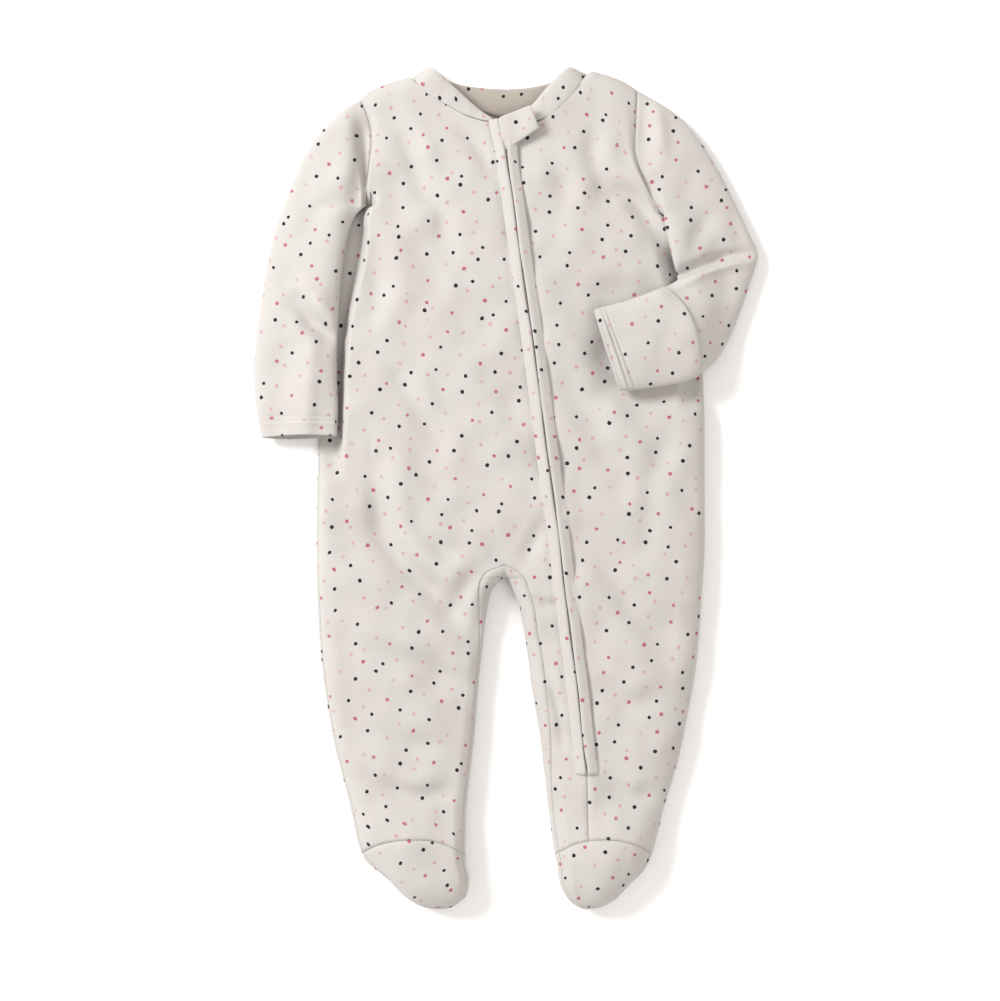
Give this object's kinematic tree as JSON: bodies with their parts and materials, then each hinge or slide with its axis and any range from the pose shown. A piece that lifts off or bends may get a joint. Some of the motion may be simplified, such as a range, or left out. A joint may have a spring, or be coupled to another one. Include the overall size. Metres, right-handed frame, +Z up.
{
  "type": "footed baby sleepsuit",
  "caption": "Footed baby sleepsuit laid flat, with a slanted front zip, a zip guard, a round neckband, fold-over mitten cuffs and closed feet; soft cloth with small scattered dots.",
  "frame": {"origin": "centre of the bounding box in plan, on the surface that the back rests on", "axes": "+Y runs from the feet to the neck, +X towards the wearer's left side, +Z up out of the front"},
  "size_m": [0.3415, 0.5649, 0.0333],
  "materials": {
    "printed_cloth": "soft brushed jersey, off-white with small black, dusky pink and pale dots",
    "trim_cloth": "the same dotted jersey, folded into bands",
    "zip": "off-white woven tape and coil",
    "zip_slider": "off-white enamel"
  },
  "bodies": {
    "root": {"back": "printed_cloth", "front_right": "printed_cloth", "front_left": "printed_cloth", "sleeve_right": "printed_cloth", "sleeve_left": "printed_cloth", "foot_upper_right": "printed_cloth", "foot_upper_left": "printed_cloth", "sole_right": "printed_cloth", "sole_left": "printed_cloth", "mitten_left": "printed_cloth", "mitten_right": "printed_cloth", "zip_guard": "printed_cloth", "neckband": "trim_cloth", "zip_placket_right": "trim_cloth", "zip_placket_left": "trim_cloth", "zip": "zip", "zip_slider": "zip_slider"}
  },
  "joints": []
}
